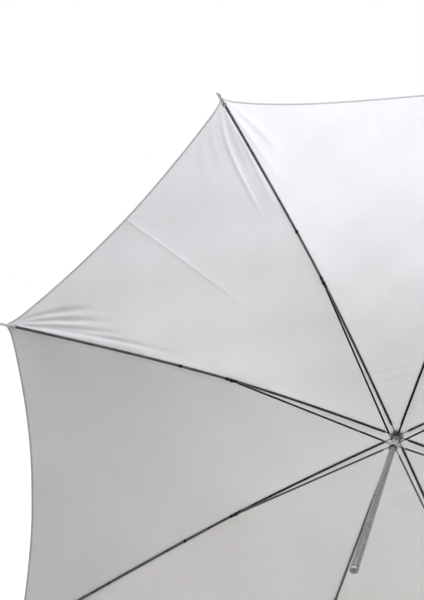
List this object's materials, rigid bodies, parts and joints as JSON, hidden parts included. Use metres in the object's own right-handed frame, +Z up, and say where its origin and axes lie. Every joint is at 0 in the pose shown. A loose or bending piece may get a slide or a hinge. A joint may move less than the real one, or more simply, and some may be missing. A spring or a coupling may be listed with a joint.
{
  "type": "umbrella reflector",
  "caption": "Open white studio umbrella reflector: sprung channel ribs, stretchers and a catch-held sliding runner on a plain round shaft, under a stitched cloth canopy.",
  "frame": {"origin": "centre of the shaft's free end, where the grip begins", "axes": "+Y along the shaft towards the crown, the canopy opens towards -Y, +Z up, first rib 22.5 degrees from +X towards +Z"},
  "size_m": [0.9596, 0.701, 0.9596],
  "materials": {
    "shaft": "satin nickel plate",
    "rib": "black nickel, worn to grey",
    "stretcher": "black",
    "joint": "black",
    "tip": "moulded white",
    "hub": "milky moulded",
    "cap": "moulded white",
    "spring_steel": "bright",
    "canopy": "thin white satin-weave nylon"
  },
  "bodies": {
    "shaft": {"shaft_tube": "shaft", "shaft_end_plug": "cap", "crown": "hub", "crown_wire": "spring_steel", "crown_pin": "spring_steel", "canopy_washer": "cap", "canopy_cap": "cap", "runner_stop_pin": "spring_steel"},
    "open_catch": {"open_catch": "spring_steel"},
    "closed_catch": {"closed_catch": "spring_steel"},
    "runner": {"runner": "hub", "runner_wire": "spring_steel"},
    "rib_1": {"rib_1": "rib", "joint_clip_1": "joint", "joint_rivet_1": "joint", "rib_tip_1": "tip"},
    "stretcher_1": {"stretcher_1": "stretcher"},
    "gore_1": {"canopy_gore_1": "canopy"},
    "rib_2": {"rib_2": "rib", "joint_clip_2": "joint", "joint_rivet_2": "joint", "rib_tip_2": "tip"},
    "stretcher_2": {"stretcher_2": "stretcher"},
    "gore_2": {"canopy_gore_2": "canopy"},
    "rib_3": {"rib_3": "rib", "joint_clip_3": "joint", "joint_rivet_3": "joint", "rib_tip_3": "tip"},
    "stretcher_3": {"stretcher_3": "stretcher"},
    "gore_3": {"canopy_gore_3": "canopy"},
    "rib_4": {"rib_4": "rib", "joint_clip_4": "joint", "joint_rivet_4": "joint", "rib_tip_4": "tip"},
    "stretcher_4": {"stretcher_4": "stretcher"},
    "gore_4": {"canopy_gore_4": "canopy"},
    "rib_5": {"rib_5": "rib", "joint_clip_5": "joint", "joint_rivet_5": "joint", "rib_tip_5": "tip"},
    "stretcher_5": {"stretcher_5": "stretcher"},
    "gore_5": {"canopy_gore_5": "canopy"},
    "rib_6": {"rib_6": "rib", "joint_clip_6": "joint", "joint_rivet_6": "joint", "rib_tip_6": "tip"},
    "stretcher_6": {"stretcher_6": "stretcher"},
    "gore_6": {"canopy_gore_6": "canopy"},
    "rib_7": {"rib_7": "rib", "joint_clip_7": "joint", "joint_rivet_7": "joint", "rib_tip_7": "tip"},
    "stretcher_7": {"stretcher_7": "stretcher"},
    "gore_7": {"canopy_gore_7": "canopy"},
    "rib_8": {"rib_8": "rib", "joint_clip_8": "joint", "joint_rivet_8": "joint", "rib_tip_8": "tip"},
    "stretcher_8": {"stretcher_8": "stretcher"},
    "gore_8": {"canopy_gore_8": "canopy"}
  },
  "joints": [
    {"name": "umbrella_fold", "type": "hinge", "parent": "shaft", "child": "rib_1", "pos_m": [0.00601, 0.68, 0.00249], "axis": [0.3827, 0, -0.9239], "range_deg": [0, 66]},
    {"name": "rib_fold_2", "type": "hinge", "parent": "shaft", "child": "rib_2", "pos_m": [0.00249, 0.68, 0.00601], "axis": [0.9239, 0, -0.3827], "range_deg": [0, 66]},
    {"name": "rib_fold_3", "type": "hinge", "parent": "shaft", "child": "rib_3", "pos_m": [-0.00249, 0.68, 0.00601], "axis": [0.9239, 0, 0.3827], "range_deg": [0, 66]},
    {"name": "rib_fold_4", "type": "hinge", "parent": "shaft", "child": "rib_4", "pos_m": [-0.00601, 0.68, 0.00249], "axis": [0.3827, 0, 0.9239], "range_deg": [0, 66]},
    {"name": "rib_fold_5", "type": "hinge", "parent": "shaft", "child": "rib_5", "pos_m": [-0.00601, 0.68, -0.00249], "axis": [-0.3827, 0, 0.9239], "range_deg": [0, 66]},
    {"name": "rib_fold_6", "type": "hinge", "parent": "shaft", "child": "rib_6", "pos_m": [-0.00249, 0.68, -0.00601], "axis": [-0.9239, 0, 0.3827], "range_deg": [0, 66]},
    {"name": "rib_fold_7", "type": "hinge", "parent": "shaft", "child": "rib_7", "pos_m": [0.00249, 0.68, -0.00601], "axis": [-0.9239, 0, -0.3827], "range_deg": [0, 66]},
    {"name": "rib_fold_8", "type": "hinge", "parent": "shaft", "child": "rib_8", "pos_m": [0.00601, 0.68, -0.00249], "axis": [-0.3827, 0, -0.9239], "range_deg": [0, 66]},
    {"name": "stretcher_fold_1", "type": "hinge", "parent": "rib_1", "child": "stretcher_1", "pos_m": [0.22301, 0.64663, 0.09238], "axis": [0.3827, 0, -0.9239], "range_deg": [-132, 0]},
    {"name": "stretcher_fold_2", "type": "hinge", "parent": "rib_2", "child": "stretcher_2", "pos_m": [0.09238, 0.64663, 0.22301], "axis": [0.9239, 0, -0.3827], "range_deg": [-132, 0]},
    {"name": "stretcher_fold_3", "type": "hinge", "parent": "rib_3", "child": "stretcher_3", "pos_m": [-0.09238, 0.64663, 0.22301], "axis": [0.9239, 0, 0.3827], "range_deg": [-132, 0]},
    {"name": "stretcher_fold_4", "type": "hinge", "parent": "rib_4", "child": "stretcher_4", "pos_m": [-0.22301, 0.64663, 0.09238], "axis": [0.3827, 0, 0.9239], "range_deg": [-132, 0]},
    {"name": "stretcher_fold_5", "type": "hinge", "parent": "rib_5", "child": "stretcher_5", "pos_m": [-0.22301, 0.64663, -0.09238], "axis": [-0.3827, 0, 0.9239], "range_deg": [-132, 0]},
    {"name": "stretcher_fold_6", "type": "hinge", "parent": "rib_6", "child": "stretcher_6", "pos_m": [-0.09238, 0.64663, -0.22301], "axis": [-0.9239, 0, 0.3827], "range_deg": [-132, 0]},
    {"name": "stretcher_fold_7", "type": "hinge", "parent": "rib_7", "child": "stretcher_7", "pos_m": [0.09238, 0.64663, -0.22301], "axis": [-0.9239, 0, -0.3827], "range_deg": [-132, 0]},
    {"name": "stretcher_fold_8", "type": "hinge", "parent": "rib_8", "child": "stretcher_8", "pos_m": [0.22301, 0.64663, -0.09238], "axis": [-0.3827, 0, -0.9239], "range_deg": [-132, 0]},
    {"name": "runner_travel", "type": "hinge", "parent": "stretcher_1", "child": "runner", "pos_m": [0.00601, 0.61327, 0.00249], "axis": [0.3827, 0, -0.9239], "range_deg": [0, 66]},
    {"name": "gore_fold_1", "type": "hinge", "parent": "shaft", "child": "gore_1", "pos_m": [0.0046, 0.68, 0.0046], "axis": [0.7071, 0, -0.7071], "range_deg": [0, 66], "deforming": ["canopy_gore_1"]},
    {"name": "gore_fold_2", "type": "hinge", "parent": "shaft", "child": "gore_2", "pos_m": [0, 0.68, 0.0065], "axis": [1, 0, 0], "range_deg": [0, 66], "deforming": ["canopy_gore_2"]},
    {"name": "gore_fold_3", "type": "hinge", "parent": "shaft", "child": "gore_3", "pos_m": [-0.0046, 0.68, 0.0046], "axis": [0.7071, 0, 0.7071], "range_deg": [0, 66], "deforming": ["canopy_gore_3"]},
    {"name": "gore_fold_4", "type": "hinge", "parent": "shaft", "child": "gore_4", "pos_m": [-0.0065, 0.68, 0], "axis": [0, 0, 1], "range_deg": [0, 66], "deforming": ["canopy_gore_4"]},
    {"name": "gore_fold_5", "type": "hinge", "parent": "shaft", "child": "gore_5", "pos_m": [-0.0046, 0.68, -0.0046], "axis": [-0.7071, 0, 0.7071], "range_deg": [0, 66], "deforming": ["canopy_gore_5"]},
    {"name": "gore_fold_6", "type": "hinge", "parent": "shaft", "child": "gore_6", "pos_m": [0, 0.68, -0.0065], "axis": [-1, 0, 0], "range_deg": [0, 66], "deforming": ["canopy_gore_6"]},
    {"name": "gore_fold_7", "type": "hinge", "parent": "shaft", "child": "gore_7", "pos_m": [0.0046, 0.68, -0.0046], "axis": [-0.7071, 0, -0.7071], "range_deg": [0, 66], "deforming": ["canopy_gore_7"]},
    {"name": "gore_fold_8", "type": "hinge", "parent": "shaft", "child": "gore_8", "pos_m": [0.0065, 0.68, 0], "axis": [0, 0, -1], "range_deg": [0, 66], "deforming": ["canopy_gore_8"]},
    {"name": "open_catch_press", "type": "hinge", "parent": "shaft", "child": "open_catch", "pos_m": [0, 0.56897, -0.00275], "axis": [1, 0, 0], "range_deg": [0, 6.8], "stiffness_Nm_per_rad": 0.2},
    {"name": "closed_catch_press", "type": "hinge", "parent": "shaft", "child": "closed_catch", "pos_m": [0, 0.21949, -0.00275], "axis": [-1, 0, 0], "range_deg": [0, 6.8], "stiffness_Nm_per_rad": 0.2}
  ],
  "couplings": [
    {"joint": "rib_fold_2", "follows": "umbrella_fold", "ratio": 1},
    {"joint": "rib_fold_3", "follows": "umbrella_fold", "ratio": 1},
    {"joint": "rib_fold_4", "follows": "umbrella_fold", "ratio": 1},
    {"joint": "rib_fold_5", "follows": "umbrella_fold", "ratio": 1},
    {"joint": "rib_fold_6", "follows": "umbrella_fold", "ratio": 1},
    {"joint": "rib_fold_7", "follows": "umbrella_fold", "ratio": 1},
    {"joint": "rib_fold_8", "follows": "umbrella_fold", "ratio": 1},
    {"joint": "stretcher_fold_1", "follows": "umbrella_fold", "ratio": -2},
    {"joint": "stretcher_fold_2", "follows": "umbrella_fold", "ratio": -2},
    {"joint": "stretcher_fold_3", "follows": "umbrella_fold", "ratio": -2},
    {"joint": "stretcher_fold_4", "follows": "umbrella_fold", "ratio": -2},
    {"joint": "stretcher_fold_5", "follows": "umbrella_fold", "ratio": -2},
    {"joint": "stretcher_fold_6", "follows": "umbrella_fold", "ratio": -2},
    {"joint": "stretcher_fold_7", "follows": "umbrella_fold", "ratio": -2},
    {"joint": "stretcher_fold_8", "follows": "umbrella_fold", "ratio": -2},
    {"joint": "runner_travel", "follows": "umbrella_fold", "ratio": 1},
    {"joint": "gore_fold_1", "follows": "umbrella_fold", "ratio": 1},
    {"joint": "gore_fold_2", "follows": "umbrella_fold", "ratio": 1},
    {"joint": "gore_fold_3", "follows": "umbrella_fold", "ratio": 1},
    {"joint": "gore_fold_4", "follows": "umbrella_fold", "ratio": 1},
    {"joint": "gore_fold_5", "follows": "umbrella_fold", "ratio": 1},
    {"joint": "gore_fold_6", "follows": "umbrella_fold", "ratio": 1},
    {"joint": "gore_fold_7", "follows": "umbrella_fold", "ratio": 1},
    {"joint": "gore_fold_8", "follows": "umbrella_fold", "ratio": 1}
  ]
}
